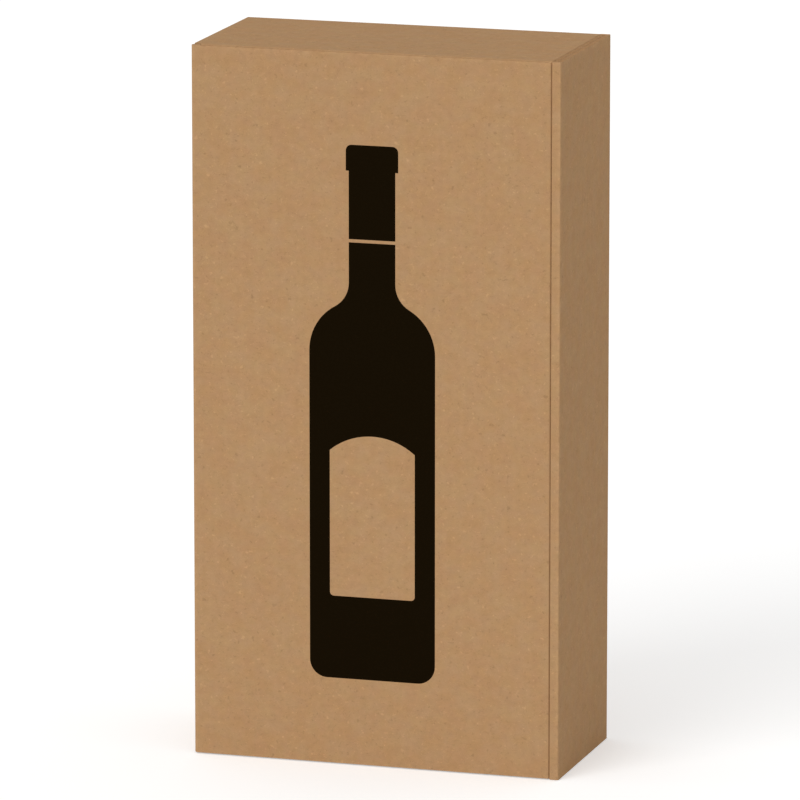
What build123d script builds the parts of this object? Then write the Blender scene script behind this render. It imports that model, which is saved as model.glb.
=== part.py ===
"""Two-bottle gift box, standing upright with its lid closed.

One sheet of fine-fluted kraft board is folded into a tray and a lid. The back panel carries
a single left wall, a rolled right wall and two rolled end walls. The lid hangs on the crease
along the left wall and tucks in beside the rolled wall. A folded divider inside keeps the two
bottles apart, and a field of ink is printed on the lid.

Millimetres. Z is up, X runs across the lid, the lid faces -Y, and the origin lies in the
middle of the surface that the box stands on.
"""

import os
from math import hypot, sqrt

from build123d import *

# Closed box
height = 360.0
width = 190.0
depth = 90.0

# Board and folds
board = 2.2
fold_radius = 0.8
ply_gap = 0.15

# Rolled wall beside the lid's free edge, and the end walls between it and the left wall
roll_gap = 0.35
end_gap = 0.4

# Lid and its crease
lid_gap = 0.2
lid_setback = 0.4
lid_seat = 0.3
hinge_gap = 0.3
tuck_depth = 32.0
tuck_end_gap = 4.0
tuck_corner = 14.0
swing_gap = 0.4

# Corner flaps of the left wall, trapped inside the end walls
flap_length = 70.0
flap_side_gap = 1.5
flap_corner = 12.0

# Lock tabs in the back panel and tongues in the rolled wall
tab_width = 30.0
tab_gap = 0.2
end_tab_spacing = 96.0
side_tab_spacing = 190.0
tongue_width = 36.0

# Divider between the bottles
divider_width = 20.0
divider_lid_gap = 8.0
divider_foot = 22.0
divider_end_gap = 1.0

# Printed bottle
ink = 0.1
print_width = 65.0
print_bottom = 44.0
print_top = 46.0
base_corner = 9.0
shoulder_height = 166.0
shoulder_radius = 26.0
throat_radius = 14.0
neck_width = 24.0
lip_width = 27.0
lip_height = 13.0
lip_corner = 3.0
label_width = 44.0
label_bottom = 42.0
label_height = 82.0
label_arch = 8.0
label_corner = 2.0
capsule_line = 1.6
capsule_length = 48.0

# Places worked out from the sizes above
half_width = width / 2
half_depth = depth / 2
rolled_wall = 2 * board + roll_gap
end_wall = 3 * board + 2 * ply_gap
inner_left = board - half_width
inner_right = half_width - rolled_wall
inner_back = half_depth - board
ply_back = inner_back - ply_gap
end_front = board + lid_seat - half_depth
end_left = fold_radius - half_width
end_right = inner_right - end_gap
hinge_x = board - half_width
hinge_y = board - half_depth
lid_right = inner_right - lid_gap
middle_x = (inner_left + inner_right) / 2
middle_y = (end_front + inner_back) / 2
print_height = height - print_bottom - print_top


def folded_outline(corners):
    """Face of a folded sheet's section. A corner is (x, y, radius of the fold on its outside)."""
    with BuildLine() as section:
        FilletPolyline(
            *[(x, y) for x, y, _ in corners],
            radius=[radius for _, _, radius in corners],
            close=True,
        )
    make_face(section.edges())


def draw_bottle():
    """Bottle seen from the side, standing on the sketch's origin, with a blank label."""
    body = print_width / 2
    neck = neck_width / 2
    lip = lip_width / 2
    lip_foot = print_height - lip_height
    shoulder_x = body - shoulder_radius
    throat_x = neck + throat_radius
    bend = shoulder_radius + throat_radius
    rise = sqrt(bend**2 - (throat_x - shoulder_x) ** 2)
    blend_share = shoulder_radius / bend
    blend = (
        shoulder_x + (throat_x - shoulder_x) * blend_share,
        shoulder_height + rise * blend_share,
    )
    with BuildLine() as bottle:
        Line((0, 0), (body - base_corner, 0))
        RadiusArc((body - base_corner, 0), (body, base_corner), -base_corner)
        Line((body, base_corner), (body, shoulder_height))
        RadiusArc((body, shoulder_height), blend, -shoulder_radius)
        RadiusArc(blend, (neck, shoulder_height + rise), throat_radius)
        Line((neck, shoulder_height + rise), (neck, lip_foot))
        Line((neck, lip_foot), (lip, lip_foot))
        Line((lip, lip_foot), (lip, print_height - lip_corner))
        RadiusArc((lip, print_height - lip_corner), (lip - lip_corner, print_height), -lip_corner)
        Line((lip - lip_corner, print_height), (0, print_height))
        mirror(about=Plane.YZ)
    make_face(bottle.edges())
    with BuildLine() as label:
        half_label = label_width / 2
        spring = label_bottom + label_height - label_arch
        foot = label_bottom + label_corner
        Line((0, label_bottom), (half_label - label_corner, label_bottom))
        RadiusArc((half_label - label_corner, label_bottom), (half_label, foot), -label_corner)
        Line((half_label, foot), (half_label, spring))
        ThreePointArc((half_label, spring), (0, spring + label_arch), (-half_label, spring))
        Line((-half_label, spring), (-half_label, foot))
        RadiusArc((-half_label, foot), (label_corner - half_label, label_bottom), -label_corner)
        Line((label_corner - half_label, label_bottom), (0, label_bottom))
    make_face(label.edges(), mode=Mode.SUBTRACT)
    with Locations((0, print_height - capsule_length)):
        Rectangle(print_width, capsule_line, mode=Mode.SUBTRACT)


# Tray: back panel and rolled end walls in one section, then the walls on either side
end_wall_lower = [
    (ply_back, end_wall, 0),
    (end_front, end_wall, fold_radius),
    (end_front, 0, fold_radius),
    (half_depth, 0, fold_radius),
]
end_wall_inside = [
    (inner_back, board, 0),
    (end_front + board, board, 0),
    (end_front + board, end_wall - board, 0),
    (ply_back, end_wall - board, 0),
]
outside = end_wall_lower + [(y, height - z, radius) for y, z, radius in reversed(end_wall_lower)]
inside = [(y, height - z, radius) for y, z, radius in reversed(end_wall_inside)] + end_wall_inside

flap_z = board + ply_gap
flap_x = flap_length - half_width
corner_flaps = [
    (flap_x, flap_z, 0),
    (-half_width, flap_z, fold_radius),
    (-half_width, height - flap_z, fold_radius),
    (flap_x, height - flap_z, 0),
    (flap_x, height - flap_z - board, 0),
    (inner_left, height - flap_z - board, 0),
    (inner_left, flap_z + board, 0),
    (flap_x, flap_z + board, 0),
]
left_wall = [
    (-half_width, hinge_y, 0),
    (-half_width, half_depth, fold_radius),
    (end_left + board, half_depth, 0),
    (end_left + board, inner_back, 0),
    (inner_left, inner_back, 0),
    (inner_left, hinge_y, 0),
]
right_wall = [
    (end_right, half_depth, 0),
    (half_width, half_depth, fold_radius),
    (half_width, -half_depth, fold_radius),
    (inner_right, -half_depth, fold_radius),
    (inner_right, ply_back, 0),
    (inner_right + board, ply_back, 0),
    (inner_right + board, hinge_y, 0),
    (half_width - board, hinge_y, 0),
    (half_width - board, inner_back, 0),
    (end_right, inner_back, 0),
]
ply_levels = (end_wall - board / 2, height - end_wall + board / 2)
end_tabs = [(middle_x + side * end_tab_spacing / 2, z) for side in (-1, 1) for z in ply_levels]
side_tabs = [(inner_right + board / 2, (height + side * side_tab_spacing) / 2) for side in (-1, 1)]
tongues = [(middle_y, z) for z in ply_levels]
flap_front = end_front + board + flap_side_gap
flap_back = inner_back - flap_side_gap
wall_foot = flap_z + fold_radius
left_room = inner_left + ply_gap - end_left

with BuildPart() as tray:
    with BuildSketch(Plane.YZ.offset(end_left)):
        folded_outline(outside + inside)
    extrude(amount=end_right - end_left)
    # The rolled plies of the end walls stop beside the left wall, and only the outer ply passes over it
    with BuildSketch(Plane.YZ.offset(end_left)):
        with Locations((middle_y, height / 2)):
            Rectangle(inner_back - end_front, height - 2 * board)
    extrude(amount=left_room, mode=Mode.SUBTRACT)
    with BuildSketch(Plane.XZ.offset(-flap_back)):
        folded_outline(corner_flaps)
    extrude(amount=flap_back - flap_front)
    chamfer(edges(Select.LAST).filter_by(Axis.Z).group_by(Axis.X)[-1], length=flap_corner)
    with BuildSketch(Plane.XY.offset(wall_foot)):
        folded_outline(left_wall)
    extrude(amount=height - 2 * wall_foot)
    with BuildSketch(Plane.XY):
        folded_outline(right_wall)
    extrude(amount=height)
    # Slots and the lock tabs that stand in them
    with BuildSketch(Plane.XZ.offset(-half_depth)):
        with Locations(*end_tabs):
            Rectangle(tab_width + 2 * tab_gap, board + 2 * tab_gap)
        with Locations(*side_tabs):
            Rectangle(board + 2 * tab_gap, tab_width + 2 * tab_gap)
    extrude(amount=board, mode=Mode.SUBTRACT)
    with BuildSketch(Plane.XZ.offset(-half_depth)):
        with Locations(*end_tabs):
            Rectangle(tab_width, board)
        with Locations(*side_tabs):
            Rectangle(board, tab_width)
    extrude(amount=half_depth - ply_back)
    with BuildSketch(Plane.YZ.offset(inner_right)):
        with Locations(*tongues):
            Rectangle(tongue_width + 2 * tab_gap, board + 2 * tab_gap)
    extrude(amount=board, mode=Mode.SUBTRACT)
    with BuildSketch(Plane.YZ.offset(end_right)):
        with Locations(*tongues):
            Rectangle(tongue_width, board)
    extrude(amount=end_gap + board)
    # Round seat for the bead of the lid's crease
    with BuildSketch(Plane.XY):
        with Locations((hinge_x, hinge_y)):
            Circle(board + hinge_gap)
    extrude(amount=height, mode=Mode.SUBTRACT)

# Lid: front panel, bead of its crease, and the tuck flap, whose tip swings clear of the rolled wall
reach = inner_right - swing_gap - hinge_x
tip_y = tuck_depth - half_depth
tip_x = hinge_x + sqrt(reach**2 - (tip_y - hinge_y) ** 2)
lean = (lid_right - tip_x) / tuck_depth
tuck_thickness_x = board * hypot(1, lean)
tuck_foot = end_wall + tuck_end_gap
lid_panel = [
    (hinge_x, -half_depth, 0),
    (lid_right, -half_depth, fold_radius),
    (lid_right, hinge_y, 0),
    (hinge_x, hinge_y, 0),
]
tuck_flap = [
    (lid_right - tuck_thickness_x, -half_depth, 0),
    (lid_right, -half_depth, fold_radius),
    (tip_x, tip_y, 0),
    (tip_x - tuck_thickness_x, tip_y, 0),
]
front = Plane(
    origin=((hinge_x + lid_right) / 2, -half_depth, print_bottom),
    x_dir=(1, 0, 0),
    z_dir=(0, -1, 0),
)

with BuildPart() as lid:
    with BuildSketch(Plane.XY.offset(tuck_foot)):
        folded_outline(tuck_flap)
    extrude(amount=height - 2 * tuck_foot)
    tip_edges = faces().sort_by(Axis.Y)[-1].edges().group_by(Axis.Z)
    fillet(tip_edges[0] + tip_edges[-1], radius=tuck_corner)
    with BuildSketch(Plane.XY.offset(lid_setback)):
        folded_outline(lid_panel)
        with Locations((hinge_x, hinge_y)):
            Circle(board)
    extrude(amount=height - 2 * lid_setback)
    with BuildSketch(front):
        draw_bottle()
    extrude(amount=-ink, mode=Mode.SUBTRACT)

# Print: ink that fills the lid's front flush
with BuildPart() as front_print:
    with BuildSketch(front):
        draw_bottle()
    extrude(amount=-ink)

# Divider: a folded strip that stands on two feet against the back panel
arm = divider_width / 2
ridge = hinge_y + divider_lid_gap
foot_top = inner_back - board
divider_half = [
    (middle_x + arm + divider_foot, inner_back, 0),
    (middle_x + arm + divider_foot, foot_top, 0),
    (middle_x + arm, foot_top, 0),
    (middle_x + arm, ridge, fold_radius),
]
divider_under = [
    (middle_x - arm + board, inner_back, fold_radius),
    (middle_x - arm + board, ridge + board, 0),
    (middle_x + arm - board, ridge + board, 0),
    (middle_x + arm - board, inner_back, fold_radius),
]
divider_other_half = [(2 * middle_x - x, y, radius) for x, y, radius in reversed(divider_half)]

with BuildPart() as divider:
    with BuildSketch(Plane.XY.offset(end_wall)):
        folded_outline(divider_half + divider_other_half + divider_under)
    extrude(amount=height - 2 * end_wall - divider_end_gap)

tray.part.label = "tray"
lid.part.label = "lid"
front_print.part.label = "front_print"
divider.part.label = "divider"

os.makedirs("parts", exist_ok=True)
export_step(tray.part, "parts/tray.step")
export_step(lid.part, "parts/lid.step")
export_step(front_print.part, "parts/front_print.step")
export_step(divider.part, "parts/divider.step")
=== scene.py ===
# %% [markdown]
# A gift box for two bottles, folded from one sheet of brown corrugated board, stands on a pale floor.
# Its solids come from the imported frame, in metres, with the box standing on the origin and its lid
# towards -Y. They have the right shape already, so this lesson finishes them: the cut edges of the board
# are opened to show the waves inside it, the paper and the ink get their materials, and the box is lit and
# looked at as in a product picture.

# %% Load the box
from math import cos, pi, radians, sin

import bmesh
import bpy
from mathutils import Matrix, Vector


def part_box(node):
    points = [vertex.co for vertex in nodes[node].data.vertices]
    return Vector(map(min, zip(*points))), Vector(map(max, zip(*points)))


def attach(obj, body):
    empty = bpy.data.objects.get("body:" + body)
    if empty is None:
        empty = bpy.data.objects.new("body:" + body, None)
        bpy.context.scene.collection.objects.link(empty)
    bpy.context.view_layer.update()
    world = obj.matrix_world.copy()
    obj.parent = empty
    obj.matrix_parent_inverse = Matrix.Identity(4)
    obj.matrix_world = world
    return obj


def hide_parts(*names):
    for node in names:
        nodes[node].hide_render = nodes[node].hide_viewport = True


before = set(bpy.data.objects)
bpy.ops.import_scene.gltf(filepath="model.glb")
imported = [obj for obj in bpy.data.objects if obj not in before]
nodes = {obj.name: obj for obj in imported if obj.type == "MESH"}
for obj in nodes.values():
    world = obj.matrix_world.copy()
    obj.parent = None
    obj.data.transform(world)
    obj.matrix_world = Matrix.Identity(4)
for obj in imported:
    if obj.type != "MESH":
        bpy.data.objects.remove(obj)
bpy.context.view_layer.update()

print("solids:", ", ".join(sorted(nodes)))

# %% [markdown]
# Corrugated board is two flat papers, the liners, glued to a wavy paper between them. The thin kind that
# gift boxes are cut from is about 2 mm thick, with a wave every 4 to 5 mm. These few sizes describe the
# sheet. The places of the details could be typed in as numbers, but they are worked out from the boxes of
# the solids instead, so that the details stay on the board if the size of the box changes.

# %% Sizes of the sheet
millimetre = 0.001
board = 2.2 * millimetre
liner = 0.3 * millimetre
wave_pitch = 4.4 * millimetre

tray_low, tray_high = (Vector(corner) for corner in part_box("tray"))
print("box size, mm:", [round(side / millimetre, 1) for side in tray_high - tray_low])

# %% [markdown]
# Paper has many small causes for its look, so its material needs many nodes. They could be placed and
# linked one by one, but a node tree is easier to read as arithmetic than as a list of links. This class
# holds one output socket: adding, multiplying or comparing it adds the Math node that does so, and its one
# method for any other node takes the node's type, its settings and the values or links of its sockets.

# %% Shader arithmetic
class Wire:
    """An output socket of a node tree, which Python's operators can work on."""

    def __init__(self, tree, socket=None):
        self.tree = tree
        self.socket = socket

    def node(self, kind, settings, inputs, output=0):
        """Add a node of any kind, and give one of its outputs."""
        made = self.tree.nodes.new(kind)
        for name, value in settings.items():
            setattr(made, name, value)
        for name, value in inputs.items():
            if isinstance(value, Wire):
                self.tree.links.new(value.socket, made.inputs[name])
            else:
                made.inputs[name].default_value = value
        return Wire(self.tree, made.outputs[output])

    def math(self, operation, *values):
        """Add a Math node that works on the given values."""
        return self.node("ShaderNodeMath", {"operation": operation}, dict(enumerate(values)))

    def __add__(self, other):
        return self.math("ADD", self, other)

    def __sub__(self, other):
        return self.math("SUBTRACT", self, other)

    def __rsub__(self, other):
        return self.math("SUBTRACT", other, self)

    def __mul__(self, other):
        return self.math("MULTIPLY", self, other)

    def __gt__(self, other):
        return self.math("GREATER_THAN", self, other)

    def __abs__(self):
        return self.math("ABSOLUTE", self)

    __radd__ = __add__
    __rmul__ = __mul__


# %% [markdown]
# Some steps come back in every finish: one part of a vector, a smooth rise between two levels, and a mix
# of two colours. They could be repeated in each material, but as functions they keep the finishes short.
# Colours go through a Mix node, because a Math node would turn them grey.

# %% Values and colours
# The Mix node has sockets for each kind of data, and these are the numbers of those for colours
mix_share, mix_first, mix_second, mixed_colour = 0, 6, 7, 2


def axis(vector, letter):
    """One part of a vector as a value."""
    return vector.node("ShaderNodeSeparateXYZ", {}, {0: vector}, letter)


def ramp(value, low, high):
    """A smooth rise from 0 at low to 1 at high."""
    limits = {"Value": value, "From Min": low, "From Max": high}
    return value.node("ShaderNodeMapRange", {"interpolation_type": "SMOOTHSTEP"}, limits)


def blend_colours(share, first, second, blend_type="MIX"):
    """The first colour where the share is 0, and its blend with the second where it is 1."""
    settings = {"data_type": "RGBA", "blend_type": blend_type}
    inputs = {mix_share: share, mix_first: first, mix_second: second}
    wire = share if isinstance(share, Wire) else first
    return wire.node("ShaderNodeMix", settings, inputs, mixed_colour)


# %% [markdown]
# Paper, ink and floor are all matte. A shader for each could be put together from simpler ones, but the
# Principled shader that a new material brings suits all three, so a finish only has to feed its sockets.
# A Bump node before its normal gives the relief that is too fine to model.

# %% Materials and their sockets
bump_height = 0.06 * millimetre


def new_finish(name):
    """An empty material: itself, a wire to start from, and its shader node."""
    finish = bpy.data.materials.new(name)
    finish.use_nodes = True
    shader = finish.node_tree.nodes["Principled BSDF"]
    return finish, Wire(finish.node_tree), shader


def plug(wire, shader, name):
    """Link a wire to one of the shader's sockets."""
    wire.tree.links.new(wire.socket, shader.inputs[name])


def add_bump(rise, shader, strength):
    """Let a surface look raised where the rise is high."""
    inputs = {"Height": rise, "Distance": bump_height, "Strength": strength}
    plug(rise.node("ShaderNodeBump", {}, inputs), shader, "Normal")


# %% [markdown]
# Brown kraft paper runs over folds and round corners, so its pattern has to follow the sheet. A texture
# that simply fills space would show stretched streaks on one side of the box and dots on the next. The
# sheet's own directions are therefore picked from the way that a face looks: across is the way from wave
# to wave, and along is the way that the waves run. Fronts, sides and ends each get their own part of the
# pattern by a jump in the third direction. All of it is worked out from places on the piece, so it stays
# put when the lid opens.

# %% Directions on the sheet
facing_limit = 0.7
end_layer = 2
layer_spacing = 7.3
usual_detail = 2.0


def sheet_directions(start):
    """Values that run across the waves and along them, and one that tells the facings apart."""
    place = start.node("ShaderNodeTexCoord", {}, {}, "Object")
    facing = start.node("ShaderNodeTexCoord", {}, {}, "Normal")
    on_side = abs(axis(facing, "X")) > facing_limit
    on_end = abs(axis(facing, "Z")) > facing_limit
    x, y, z = (axis(place, letter) for letter in "XYZ")
    across = x + on_side * (y - x)
    along = z + on_end * (y - z)
    return across, along, on_side + on_end * end_layer


def speckle(across, along, layer, size_across, size_along, detail=usual_detail):
    """Noise whose grains have the given size on the sheet."""
    parts = {"X": across * (1 / size_across), "Y": along * (1 / size_along), "Z": layer * layer_spacing}
    point = across.node("ShaderNodeCombineXYZ", {}, parts)
    return across.node("ShaderNodeTexNoise", {}, {"Vector": point, "Scale": 1.0, "Detail": detail}, "Fac")


# %% [markdown]
# Kraft paper is made of long unbleached fibres. Close by, single ones can be seen: thin, bent, pale or
# dark, and lying every way. Curves on the surface could show them, but thousands would be needed. A noise
# that is stretched along one direction has long thin peaks and pits, so three such noises, each turned
# its own way and bent by a slower noise, give the fibres without a single extra point.

# %% Fibres
strand_turns = (radians(8), radians(-47), radians(66))
strand_length = 5.0 * millimetre
strand_width = 0.22 * millimetre
strand_bend = 6.0 * millimetre
strand_levels = (0.64, 0.72)
strand_spacing = 0.37
bend_size = 6.5 * millimetre
plain_detail = 1.0
noise_middle = 0.5


def peaks(noise, start, full):
    """1 on the peaks of a noise, -1 in its pits, and 0 between them."""
    return ramp(noise, start, full) - ramp(1 - noise, start, full)


def strands(across, along, layer):
    """1 on thin bent pale fibres, -1 on dark ones, and 0 between them."""
    found = 0
    for number, turn in enumerate(strand_turns):
        level = layer + number * strand_spacing
        slow = speckle(across, along, level, bend_size, bend_size, plain_detail)
        bend = (slow - noise_middle) * strand_bend
        lengthways = across * cos(turn) + along * sin(turn)
        sideways = along * cos(turn) - across * sin(turn) + bend
        noise = speckle(lengthways, sideways, level, strand_length, strand_width, plain_detail)
        found = found + peaks(noise, *strand_levels)
    return found


# %% [markdown]
# Along the folds the paper is painted paler: a painted highlight where the round folds catch the light,
# and a little rubbing. The folds could be painted by hand, but a distance gives each of them the same
# width. A point is near an edge of the box when it is near two of its outer faces at once, so the second
# smallest of the three distances to them is the one to look at.

# %% Painted highlight and rubbing on the folds
# Width of the painted highlight and rubbing along the folds
fold_highlight_width = 2.5 * millimetre
box_middle = (tray_low + tray_high) / 2
box_half = (tray_high - tray_low) / 2


def fold_highlight_and_rub(start):
    """The share of painted highlight and rubbing: 1 at the outer edges of the box and 0 away from them."""
    place = start.node("ShaderNodeTexCoord", {}, {}, "Object")
    inset = [half - abs(axis(place, letter) - middle)
             for letter, middle, half in zip("XYZ", box_middle, box_half)]
    near = inset[0].math("MINIMUM", inset[0], inset[1])
    far = inset[0].math("MAXIMUM", inset[0], inset[1])
    second = near.math("MAXIMUM", near, near.math("MINIMUM", far, inset[2]))
    return 1 - ramp(second, 0.0, fold_highlight_width)


# %% [markdown]
# From a step away the paper is one even brown with a soft cloud in it. Close by it has blotches, a mottle,
# a fine grain, and scattered pale and dark flecks. One noise with many octaves could give all of these,
# but only in fixed proportions. So each scale has a noise with a size and a strength of its own, and a
# fleck is a peak or a pit of a noise, as a fibre is.

# %% Scales of the paper's pattern
# Size across, size along and detail of each scale, and its strength, from the widest to the finest
paper_scales = {
    "cloud": ((45.0 * millimetre, 60.0 * millimetre, 2.0), 0.06),
    "blotch": ((10.0 * millimetre, 9.0 * millimetre, 2.0), 0.28),
    "mottle": ((4.2 * millimetre, 3.6 * millimetre, 2.0), 0.40),
    "grain": ((1.2 * millimetre, 0.9 * millimetre, 4.0), 0.10),
}

# Size of each kind of fleck, the levels of its noise where it starts and is full, and its strength
fleck_kinds = (
    (1.2 * millimetre, (0.64, 0.73), 0.28),
    (2.6 * millimetre, (0.66, 0.74), 0.36),
)
scale_spacing = 0.9
fleck_layer = 5


def paper_pattern(across, along, layer):
    """The noise of each scale by its name, and the tone that scales and flecks add up to."""
    noises = {}
    tone = noise_middle
    for number, (scale, (grain_size, strength)) in enumerate(paper_scales.items()):
        noises[scale] = speckle(across, along, layer + number * scale_spacing, *grain_size)
        tone = tone + (noises[scale] - noise_middle) * strength
    for number, (size, levels, strength) in enumerate(fleck_kinds):
        noise = speckle(across, along, layer + (fleck_layer + number), size, size)
        tone = tone + peaks(noise, *levels) * strength
    return noises, tone


# %% [markdown]
# Unbleached pulp gives the paper its brown. A tone about the middle of 0 to 1 moves that brown between a
# darker and a paler share of itself, and two weak pairs of tints keep it from being the same hue all over.
# The colours could all be picked one by one, but shares of one brown stay in step when it is corrected.

# %% Browns and tints of the paper
kraft_mean = Vector((0.455, 0.270, 0.134))
pale_share = Vector((1.22, 1.22, 1.22))
dark_share = Vector((0.78, 0.775, 0.77))
warm_tint = (1.018, 0.995, 0.978, 1.0)
cool_tint = (0.982, 1.005, 1.022, 1.0)
yellow_tint = (1.0, 1.004, 0.975, 1.0)
violet_tint = (1.0, 0.996, 1.025, 1.0)
tint_pairs = ((warm_tint, cool_tint), (yellow_tint, violet_tint))
tint_levels = (0.3, 0.7)


def shaded(colour, share):
    """A colour with each part scaled by its own share, as four numbers."""
    return (*(part * scale for part, scale in zip(colour, share)), 1.0)


def tinted_brown(colour, tone, patches):
    """A brown that the tone makes paler or darker, tinted in the patches of one noise for each pair."""
    brown = blend_colours(tone, shaded(colour, dark_share), shaded(colour, pale_share))
    for noise, tints in zip(patches, tint_pairs):
        tint = blend_colours(ramp(noise, *tint_levels), *tints)
        brown = blend_colours(1.0, brown, tint, "MULTIPLY")
    return brown


# %% [markdown]
# Uncoated paper is matte, and a little smoother where it is rubbed. Its grain, its fibres and the waves
# behind it stand up by a hair. The bump could be a noise of its own, but it is made of the same parts as
# the colour will be, so that a fibre that is seen also catches the light.

# %% Surface of the paper
paper_roughness = 0.84
mottle_roughness = 0.12
rub_polish = 0.05
grain_rise = 0.5
fibre_rise = 0.25
wave_rise = 0.12
paper_bump = 0.5
paper_gloss = 0.03


def matte_surface(shader, noises, fibres, wave, fold_highlight_and_rubbing):
    """Give a paper its roughness, its fine relief and its faint gloss."""
    unevenness = (noises["mottle"] - noise_middle) * mottle_roughness
    plug(paper_roughness + unevenness - fold_highlight_and_rubbing * rub_polish, shader, "Roughness")
    rise = noises["grain"] * grain_rise + abs(fibres) * fibre_rise + wave * wave_rise
    add_bump(rise, shader, paper_bump)
    shader.inputs["Specular IOR Level"].default_value = paper_gloss


# %% [markdown]
# The paper's tone adds up the scales and flecks, the fibres, a painted highlight with a little rubbing
# along the folds, and the waves, which show through the liner as a very faint washboard. The mottle breaks
# the paler folds up, so that they are uneven. The paper inside the board is a touch paler than the liners.
# Its finish could be a copy that is then changed, but a function that takes the brown gives both.

# %% Kraft paper
fibre_layer = 0.2
fibre_strength = 0.16
wave_strength = 0.012
# How much paler the folds are painted, as a highlight with a little rubbing, and the mottle levels that
# break it up
fold_highlight_strength = 0.16
fold_highlight_levels = (0.3, 0.6)
hue_layer = 8
hue_patch = 6.0 * millimetre
wavy_paper_share = 1.05


def kraft_paper(name, colour):
    """Uncoated brown paper over board."""
    finish, start, shader = new_finish(name)
    across, along, layer = sheet_directions(start)
    noises, tone = paper_pattern(across, along, layer)
    fibres = strands(across, along, layer + fibre_layer)
    turn = across * (2 * pi / wave_pitch)
    wave = turn.math("SINE", turn)
    # Painted highlight on the folds, with a little rubbing, broken up by the mottle
    fold_highlight_and_rubbing = fold_highlight_and_rub(start) * ramp(noises["mottle"], *fold_highlight_levels)
    hue = speckle(across, along, layer + hue_layer, hue_patch, hue_patch)

    tone = tone + fibres * fibre_strength + wave * wave_strength + fold_highlight_and_rubbing * fold_highlight_strength
    plug(tinted_brown(colour, tone, (noises["blotch"], hue)), shader, "Base Color")
    matte_surface(shader, noises, fibres, wave, fold_highlight_and_rubbing)
    return finish


kraft_liner = kraft_paper("kraft_liner", kraft_mean)
wave_fibre = kraft_paper("wave_fibre", kraft_mean * wavy_paper_share)
print("paper nodes:", len(kraft_liner.node_tree.nodes))

# %% [markdown]
# The picture on the lid is printed with one pass of matte black ink. Ink on rough paper is never quite
# solid: it sits a little thinner on the high fibres, so a trace of brown shows through, and it is a touch
# smoother than bare paper. It could be a mask in the paper's material, but the ink is a thin solid of its
# own here, so it has a sharp outline already and only needs its finish.

# %% Black ink
ink_colour = (0.0075, 0.0042, 0.0010, 1.0)
thin_ink_colour = (0.0120, 0.0074, 0.0024, 1.0)
ink_grain = (1.1 * millimetre, 0.8 * millimetre, 3.0)
ink_grain_levels = (0.5, 0.8)
ink_grain_share = 0.5
high_fibre = (2.6 * millimetre, 0.5 * millimetre)
high_fibre_levels = (0.62, 0.8)
high_fibre_share = 0.4
high_fibre_layer = 5
ink_roughness = 0.62
ink_grain_roughness = 0.2
ink_bump = 0.3
ink_gloss = 0.01


def black_ink(name):
    """Matte black ink on kraft paper."""
    finish, start, shader = new_finish(name)
    across, along, layer = sheet_directions(start)
    grain = speckle(across, along, layer, *ink_grain)
    fibre = speckle(across, along, layer + high_fibre_layer, *high_fibre)
    thin_on_grain = ramp(grain, *ink_grain_levels) * ink_grain_share
    thin_on_fibre = ramp(fibre, *high_fibre_levels) * high_fibre_share
    plug(blend_colours(thin_on_grain + thin_on_fibre, ink_colour, thin_ink_colour), shader, "Base Color")
    plug(ink_roughness + grain * ink_grain_roughness, shader, "Roughness")
    add_bump(grain, shader, ink_bump)
    shader.inputs["Specular IOR Level"].default_value = ink_gloss
    return finish


ink_solid = nodes["front_print"]
ink_solid.data.materials.clear()
ink_solid.data.materials.append(black_ink("matte_ink"))
print("ink on:", ink_solid.name)

# %% [markdown]
# Each board piece could be modelled again from a plane, but its solid is right already, so it is finished
# on a copy of the solid, which itself stays as it is. The copy arrives as loose triangles. Its points are
# merged, and triangles that lie in one plane are dissolved, so that each edge of the board becomes one
# whole face that can be picked.

# %% Copying a solid
touching = 0.02 * millimetre
merge_distance = touching / 4
flat_angle = radians(0.5)


def select_only(piece):
    """Make one object the selected and active one."""
    bpy.ops.object.select_all(action="DESELECT")
    piece.select_set(True)
    bpy.context.view_layer.objects.active = piece


def board_copy(node, name):
    """A merged copy of a solid, left in edit mode."""
    piece = bpy.data.objects.new(name, nodes[node].data.copy())
    bpy.context.scene.collection.objects.link(piece)
    select_only(piece)
    bpy.ops.object.mode_set(mode="EDIT")
    bpy.ops.mesh.select_all(action="SELECT")
    bpy.ops.mesh.remove_doubles(threshold=merge_distance)
    bpy.ops.mesh.customdata_custom_splitnormals_clear()
    bpy.ops.mesh.dissolve_limited(angle_limit=flat_angle)
    return piece


# %% [markdown]
# In the viewport a face is picked with a click. A script has no mouse, and the number of a face changes
# with every edit, so faces are picked by a test of their place and the way they look. The same test finds
# them again if the box gets another size.

# %% Picking faces
def pick_faces(piece, wanted):
    """Select the faces that pass a test, and say how many they are."""
    bpy.ops.mesh.select_mode(type="FACE")
    bpy.ops.mesh.select_all(action="DESELECT")
    form = bmesh.from_edit_mesh(piece.data)
    chosen = [face for face in form.faces if wanted(face)]
    for face in chosen:
        face.select_set(True)
    bmesh.update_edit_mesh(piece.data)
    return len(chosen)


def lies_at(face, letter, *levels):
    """True if the whole face lies at one of the levels of an axis."""
    places = [getattr(corner.co, letter) for corner in face.verts]
    return any(all(abs(place - level) < touching for place in places) for level in levels)


# %% [markdown]
# The knife that cuts board presses its edge nearly shut, so the hollows between the liners are shallow
# there. A boolean could cut them, but the inset operator makes the form in one step: it leaves the liners
# standing round a face and sinks its middle. Where a cut edge and a smooth face lie in one plane, a bisect
# parts them first.

# %% Opening a cut edge
hollow_depth = 0.2 * millimetre


def open_cut_edge(piece, wanted):
    """Sink the middle of the picked board edges, and leave the liners standing."""
    count = pick_faces(piece, wanted)
    bpy.ops.mesh.inset(thickness=liner, depth=-hollow_depth, use_boundary=True, use_even_offset=True)
    print(wanted.__name__, count)


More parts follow.
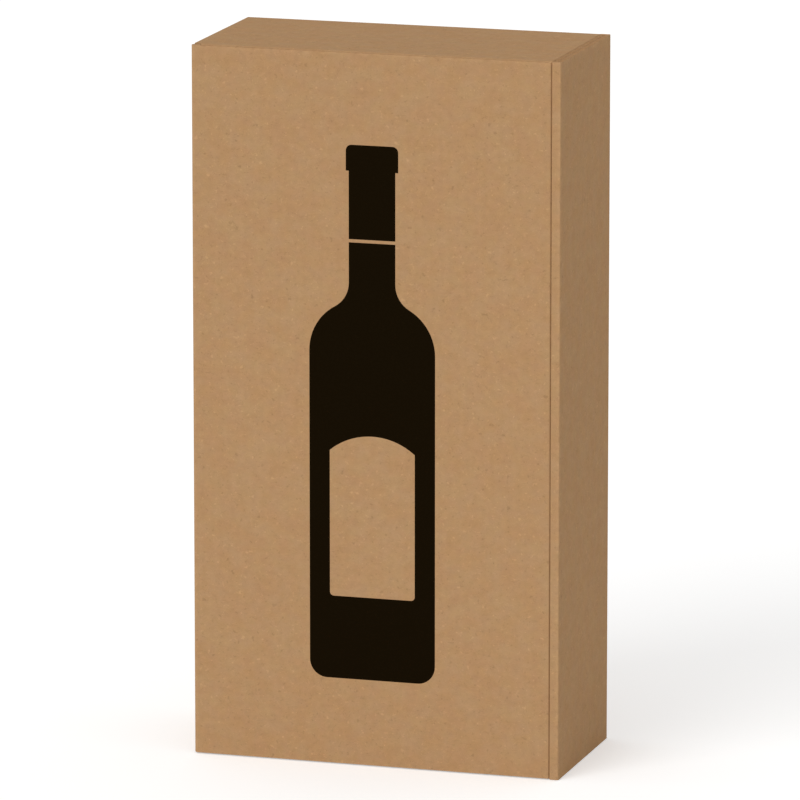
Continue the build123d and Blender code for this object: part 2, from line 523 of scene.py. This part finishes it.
def part_ends(piece, level):
    """Cut the top and bottom faces of a piece in two where x has the given level."""
    pick_faces(piece, lambda face: abs(face.normal.z) > facing_limit)
    bpy.ops.mesh.bisect(plane_co=(level, 0, 0), plane_no=(1, 0, 0), threshold=touching)


# %% [markdown]
# Where an edge is cut across the waves, their ends show, and later each such edge gets a ribbon of wavy
# paper. The ribbons could be placed by measuring the finished pieces, but it is simpler to note the middle
# line of an edge before it is opened, while its face still has four plain sides.

# %% Noting the open edges
open_lines = {"tray_body": [], "lid_body": []}


def note_middle_lines(piece, body, wanted):
    """Keep the long middle line and the normal of each four-sided cut edge that passes a test."""
    for face in bmesh.from_edit_mesh(piece.data).faces:
        if len(face.verts) == 4 and wanted(face):
            ends = sorted(face.edges, key=lambda side: side.calc_length())[:2]
            start, end = ((side.verts[0].co + side.verts[1].co) / 2 for side in ends)
            open_lines[body].append((start, end, face.normal.copy()))


# %% [markdown]
# A folded sheet has round folds between flat panels and sharp cut edges. Shading by angle keeps the cut
# edges sharp and the folds round, but it would bend the light over a wide panel beside a narrow fold.
# Weighted normals follow the larger faces, so they keep the panels flat. The piece then takes its paper,
# rides on its body and stands for its solid.

# %% Finishing a board piece
smooth_angle = radians(30)


def finish_board(piece, node, body):
    """Shade a board piece, give it its paper and let it stand for its solid."""
    bpy.ops.object.mode_set(mode="OBJECT")
    select_only(piece)
    bpy.ops.object.shade_smooth_by_angle(angle=smooth_angle)
    bpy.ops.object.modifier_add(type="WEIGHTED_NORMAL")
    piece.modifiers[-1].keep_sharp = True
    bpy.ops.object.modifier_apply(modifier=piece.modifiers[-1].name)
    piece.data.materials.clear()
    piece.data.materials.append(kraft_liner)
    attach(piece, body)
    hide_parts(node)
    print(piece.name, len(piece.data.polygons), "faces")


# %% [markdown]
# A seam between two layers of board is a pair of flat faces with air between them. To make it narrower,
# the board could be modelled again. It is less work to pick all points that lie in the plane of one face
# and move them together, as with the move tool, because the walls behind that face then stretch with it.

# %% Moving a plane of points
def shift_points(piece, level, step):
    """Move the points where x has the given level by a small step."""
    bpy.ops.mesh.select_mode(type="VERT")
    bpy.ops.mesh.select_all(action="DESELECT")
    form = bmesh.from_edit_mesh(piece.data)
    chosen = [point for point in form.verts if abs(point.co.x - level) < touching]
    for point in chosen:
        point.select_set(True)
    form.select_flush_mode()
    bmesh.update_edit_mesh(piece.data)
    bpy.ops.transform.translate(value=(step, 0, 0))
    print("points moved:", len(chosen))


# %% [markdown]
# The right wall of the box is rolled: the sheet goes out, folds over and comes back inside, so there are
# two plies. The solid keeps the plies, the end walls beside them and the lid safely apart. Pressed board
# lies closer, and on the real box the seams are fine lines, so each is closed by about a tenth of a
# millimetre. A dark line could be painted there instead, but a real gap is dark from every side.

# %% Seams of the rolled wall
roll_gap = 0.35 * millimetre
end_gap = 0.4 * millimetre
ply_seam = 0.08 * millimetre
end_seam = 0.15 * millimetre
wall_spring = 0.12 * millimetre

outer_ply = tray_high.x - board
inner_ply = outer_ply - roll_gap
wall_face = inner_ply - board
end_wall_before = wall_face - end_gap
end_wall_right = wall_face - wall_spring - end_seam


def close_seams(piece):
    """Move the plies together, the end walls to the right, and the wall's face towards the lid."""
    shift_points(piece, outer_ply, (ply_seam - roll_gap) / 2)
    shift_points(piece, inner_ply, (roll_gap - ply_seam) / 2)
    shift_points(piece, end_wall_before, end_wall_right - end_wall_before)
    shift_points(piece, wall_face, -wall_spring)


# %% [markdown]
# The tray is most of the sheet: the back, the left wall, and three walls that are rolled over and locked
# by tabs. Its cut edges show in four places. The waves end openly at the top and bottom of the rolled
# right wall, and at the end tabs, which reach through the back. At the left of the two end walls and at
# the side tabs the board is cut along a wave, so there is only a plain slot between the liners. Each kind
# of edge could be picked by hand in the viewport. Here a short test says what is special about it.

# %% Cut edges of the tray
fold_radius = 0.8 * millimetre
end_wall_left = tray_low.x + fold_radius


def is_rolled_end(face):
    return lies_at(face, "z", tray_low.z, tray_high.z) and face.calc_center_median().x > end_wall_right


def is_end_wall_edge(face):
    return face.normal.x < -facing_limit and lies_at(face, "x", end_wall_left)


def is_tab_end(face):
    on_back = face.normal.y > facing_limit and lies_at(face, "y", tray_high.y)
    width = min(side.calc_length() for side in face.edges)
    return on_back and len(face.verts) == 4 and abs(width - board) < touching


def is_end_tab(face):
    return is_tab_end(face) and face.calc_center_median().x < end_wall_right


def is_side_tab(face):
    return is_tab_end(face) and not is_end_tab(face)


# %% [markdown]
# The steps now run on the tray, in an order that matters. The side tabs are opened first, because closing
# the seams changes their thickness, by which they are known. A bisect parts the ends of the rolled wall
# from the end walls before they are picked, and the end tabs are noted before they are opened.

# %% The tray
tray_board = board_copy("tray", "tray_board")
open_cut_edge(tray_board, is_side_tab)
close_seams(tray_board)
part_ends(tray_board, end_wall_right)
note_middle_lines(tray_board, "tray_body", is_end_tab)
open_cut_edge(tray_board, is_end_wall_edge)
open_cut_edge(tray_board, is_end_tab)
open_cut_edge(tray_board, is_rolled_end)
finish_board(tray_board, "tray", "tray_body")

# %% [markdown]
# The lid is the front panel with its tuck flap. The waves run up the panel, so they end openly along its
# top and bottom, but beside the crease on the left the board is crushed solid. The tuck flap is cut across
# the waves at its two ends, and its rounded tip is cut along one, so it shows hollows at the ends and a
# slot between them. The flap leans, so its edges can't be told by one level, as those of the tray are.
# They are the faces of the flap that look neither left nor right.

# %% Cut edges of the lid
lid_low, lid_high = (Vector(corner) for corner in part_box("lid"))
crushed_strip = lid_low.x + 2 * board + fold_radius / 2
flap_start = lid_low.y + board + touching
flap_left = lid_high.x - 3 * board
edge_on = 0.3
square_on = 0.9999


def is_lid_end(face):
    return lies_at(face, "z", lid_low.z, lid_high.z) and face.calc_center_median().x > crushed_strip


def is_flap_edge(face):
    centre = face.calc_center_median()
    return centre.y > flap_start and centre.x > flap_left and abs(face.normal.x) < edge_on


def is_flap_end(face):
    return is_flap_edge(face) and abs(face.normal.z) > square_on


def is_flap_tip(face):
    return is_flap_edge(face) and not is_flap_end(face)


# %% [markdown]
# The lid goes through the same steps as the tray. A bisect parts the crushed strip beside the crease from
# the open edge, so that only the open part is sunk, and the two ends of the flap are noted before they are
# opened. The tip is opened as one band that runs round its curve.

# %% The lid
lid_board = board_copy("lid", "lid_board")
part_ends(lid_board, crushed_strip)
note_middle_lines(lid_board, "lid_body", is_flap_end)
open_cut_edge(lid_board, is_flap_tip)
open_cut_edge(lid_board, is_flap_end)
open_cut_edge(lid_board, is_lid_end)
finish_board(lid_board, "lid", "lid_body")

# %% [markdown]
# The divider is a loose strip of the same board, folded to stand between the bottles. Its two feet end in
# edges that are cut along a wave, so they get plain slots, by the same steps as the other pieces.

# %% The divider
divider_low, divider_high = (Vector(corner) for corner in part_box("divider"))


def is_foot_tip(face):
    return lies_at(face, "x", divider_low.x, divider_high.x)


divider_board = board_copy("divider", "divider_board")
open_cut_edge(divider_board, is_foot_tip)
finish_board(divider_board, "divider", "tray_body")

# %% [markdown]
# The wavy paper inside the board is seen only where an edge is cut across it. Modelling it through the
# whole sheet would be waste, so each open edge gets a short ribbon along its middle line. The edges of the
# tabs and of the tuck flap are noted already. The ends of the lid and of the rolled wall have more than
# four sides, so their lines are worked out here. They stop short of the folds, where the waves are
# crushed.

# %% Middle lines of the long open edges
fold_clear = board + liner
lid_middle = lid_low.y + board / 2
outer_middle = tray_high.x - board / 2
inner_middle = outer_middle - board - roll_gap

for level, out in ((lid_low.z, -1), (lid_high.z, 1)):
    left = Vector((crushed_strip, lid_middle, level))
    right = Vector((lid_high.x - fold_clear, lid_middle, level))
    open_lines["lid_body"].append((left, right, Vector((0, 0, out))))

for level, out in ((tray_low.z, -1), (tray_high.z, 1)):
    for ply_middle in (outer_middle, inner_middle):
        front = Vector((ply_middle, tray_low.y + fold_clear, level))
        back = Vector((ply_middle, tray_high.y - fold_clear, level))
        open_lines["tray_body"].append((front, back, Vector((0, 0, out))))
print({body: len(lines) for body, lines in open_lines.items()})

# %% [markdown]
# A ribbon starts as a grid, whose points are moved onto a sine wave, and a Solidify modifier gives it the
# paper's thickness. A wave modifier could bend it too, but the formula lets each ribbon have a whole
# number of waves, so that it starts and ends on the middle line. Its top lies just below the cut edge and
# its foot on the floor of the hollow.

# %% A ribbon of wavy paper
wave_paper = 0.2 * millimetre
wave_height = (board - 2 * liner - wave_paper) / 2 - touching
ribbon_top = 0.03 * millimetre
points_per_wave = 10


def wave_ribbon(start, end, out):
    """A wavy strip along an open edge, from start to end on the board's middle line."""
    run = (end - start) * (1 - 2 * liner / (end - start).length)
    start = start + (end - start - run) / 2
    through = out.cross(run).normalized()
    waves = round(run.length / wave_pitch)
    bpy.ops.object.select_all(action="DESELECT")
    bpy.ops.mesh.primitive_grid_add(x_subdivisions=waves * points_per_wave, y_subdivisions=1, size=1)
    ribbon = bpy.context.object
    for corner in ribbon.data.vertices:
        # The grid is one unit wide and has its middle at the origin
        share = corner.co.x + 1 / 2
        depth = ribbon_top if corner.co.y > 0 else hollow_depth
        swing = wave_height * sin(2 * pi * waves * share)
        corner.co = start + run * share + through * swing - out * depth
    bpy.ops.object.modifier_add(type="SOLIDIFY")
    ribbon.modifiers[-1].thickness = wave_paper
    ribbon.modifiers[-1].offset = 0
    bpy.ops.object.modifier_apply(modifier=ribbon.modifiers[-1].name)
    return ribbon


# %% [markdown]
# On the real box the ribbons of one body are the same sheet of wavy paper. They could stay separate
# objects, but joined into one piece for each body they are easier to handle, and they move with the board
# around them.

# %% Waves in the open edges
def join_ribbons(name, body):
    """One piece from all the ribbons of a body."""
    ribbons = [wave_ribbon(*line) for line in open_lines[body]]
    select_only(ribbons[0])
    for ribbon in ribbons:
        ribbon.select_set(True)
    bpy.ops.object.join()
    piece = bpy.context.object
    piece.name = name
    bpy.ops.object.shade_smooth_by_angle(angle=smooth_angle)
    piece.data.materials.clear()
    piece.data.materials.append(wave_fibre)
    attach(piece, body)
    print(name, len(piece.data.polygons), "faces")


join_ribbons("tray_waves", "tray_body")
join_ribbons("lid_waves", "lid_body")

# %% [markdown]
# A product picture has a white background. More light would whiten it, but that light would fall on the
# box too and wash out its colour. The Light Path node tells the rays that show a surface, straight to the
# camera or by a mirror or glass, from those that only carry light, so the background can be white to the
# first kind alone.

# %% Rays that show the background
def seen_share(start):
    """1 for rays that show the background, and 0 for rays that only light the box."""
    seen = [start.node("ShaderNodeLightPath", {}, {}, name)
            for name in ("Is Camera Ray", "Is Glossy Ray", "Is Transmission Ray")]
    return seen[0].math("MAXIMUM", seen[0], seen[1].math("MAXIMUM", seen[1], seen[2]))


# %% [markdown]
# The floor is a wide pale sheet. A curved backdrop could stand behind the box, as in a studio, but a floor
# that reaches far enough meets the white world without a line that is seen. It is near white by its own
# colour, and the rays that show it get the little extra that lifts it to white. The shadow of the box
# stays on it.

# %% Floor
floor_size = 30.0
floor_gap = 0.2 * millimetre
floor_colour = (0.89, 0.89, 0.885, 1.0)
floor_roughness = 0.9
floor_lift = 0.34
black = (0, 0, 0, 1)
white = (1, 1, 1, 1)


def floor_paper(name):
    """Pale matte paper that looks white from where it is seen."""
    finish, start, shader = new_finish(name)
    shader.inputs["Base Color"].default_value = floor_colour
    shader.inputs["Roughness"].default_value = floor_roughness
    shader.inputs["Specular IOR Level"].default_value = 0.0
    shader.inputs["Emission Strength"].default_value = floor_lift
    plug(blend_colours(seen_share(start), black, white), shader, "Emission Color")
    return finish


bpy.ops.object.select_all(action="DESELECT")
bpy.ops.mesh.primitive_plane_add(size=floor_size, location=(0, 0, tray_low.z - floor_gap))
floor = bpy.context.object
floor.name = "studio_floor"
floor.data.materials.append(floor_paper("floor_paper"))
print("floor:", floor_size, "m wide")

# %% [markdown]
# The light is that of a white studio: soft from all round, with one broad lamp high at the front left. On
# the box that makes the front brightest, the top a little darker and the right side darker still. The
# world gives the soft part. An area lamp could give the rest, but a sun with a wide angle lights the whole
# panel alike, as a large soft box does from some way off.

# %% Light
world_level = 0.62
lamp_strength = 1.25
lamp_from = Vector((-0.36, -0.80, 0.48))
lamp_angle = radians(40)

world = bpy.data.worlds.new("studio")
world.use_nodes = True
bpy.context.scene.world = world
sky = Wire(world.node_tree)
backdrop = world.node_tree.nodes["Background"]
backdrop.inputs["Color"].default_value = white
plug(world_level + seen_share(sky) * (1 - world_level), backdrop, "Strength")

lamp = bpy.data.objects.new("soft_lamp", bpy.data.lights.new("soft_lamp", "SUN"))
lamp.data.energy = lamp_strength
lamp.data.angle = lamp_angle
lamp.rotation_euler = lamp_from.to_track_quat("Z", "Y").to_euler()
bpy.context.scene.collection.objects.link(lamp)
bpy.context.scene.view_settings.view_transform = "Standard"
print("lamp from", [round(part, 2) for part in lamp_from])

# %% [markdown]
# The picture was taken from far away with a long lens, a little to the right of the box and a little above
# it, so that the front is nearly square to the camera and the right side and the top are just seen. The
# camera could be dragged there by eye. Here it stands on a line from the middle of the box at those two
# angles, and two small offsets put the box where it stands in the picture.

# %% Camera
view_turn = radians(17.0)
view_height = radians(11.8)
view_distance = 4.05
view_lens = 365.0
view_offset_right = -0.7 * millimetre
view_offset_up = -2.3 * millimetre
film_width = 36.0

away = Vector((sin(view_turn) * cos(view_height), -cos(view_turn) * cos(view_height), sin(view_height)))
rightward = Vector((cos(view_turn), sin(view_turn), 0))
upward = away.cross(rightward)
view_offset = rightward * view_offset_right + upward * view_offset_up
camera = bpy.data.objects.new("camera", bpy.data.cameras.new("camera"))
camera.data.lens = view_lens
camera.data.sensor_width = film_width
camera.location = box_middle + away * view_distance + view_offset
camera.rotation_euler = (pi / 2 - view_height, 0, view_turn)
bpy.context.scene.collection.objects.link(camera)
bpy.context.scene.camera = camera
print("camera at", [round(value, 3) for value in camera.location])
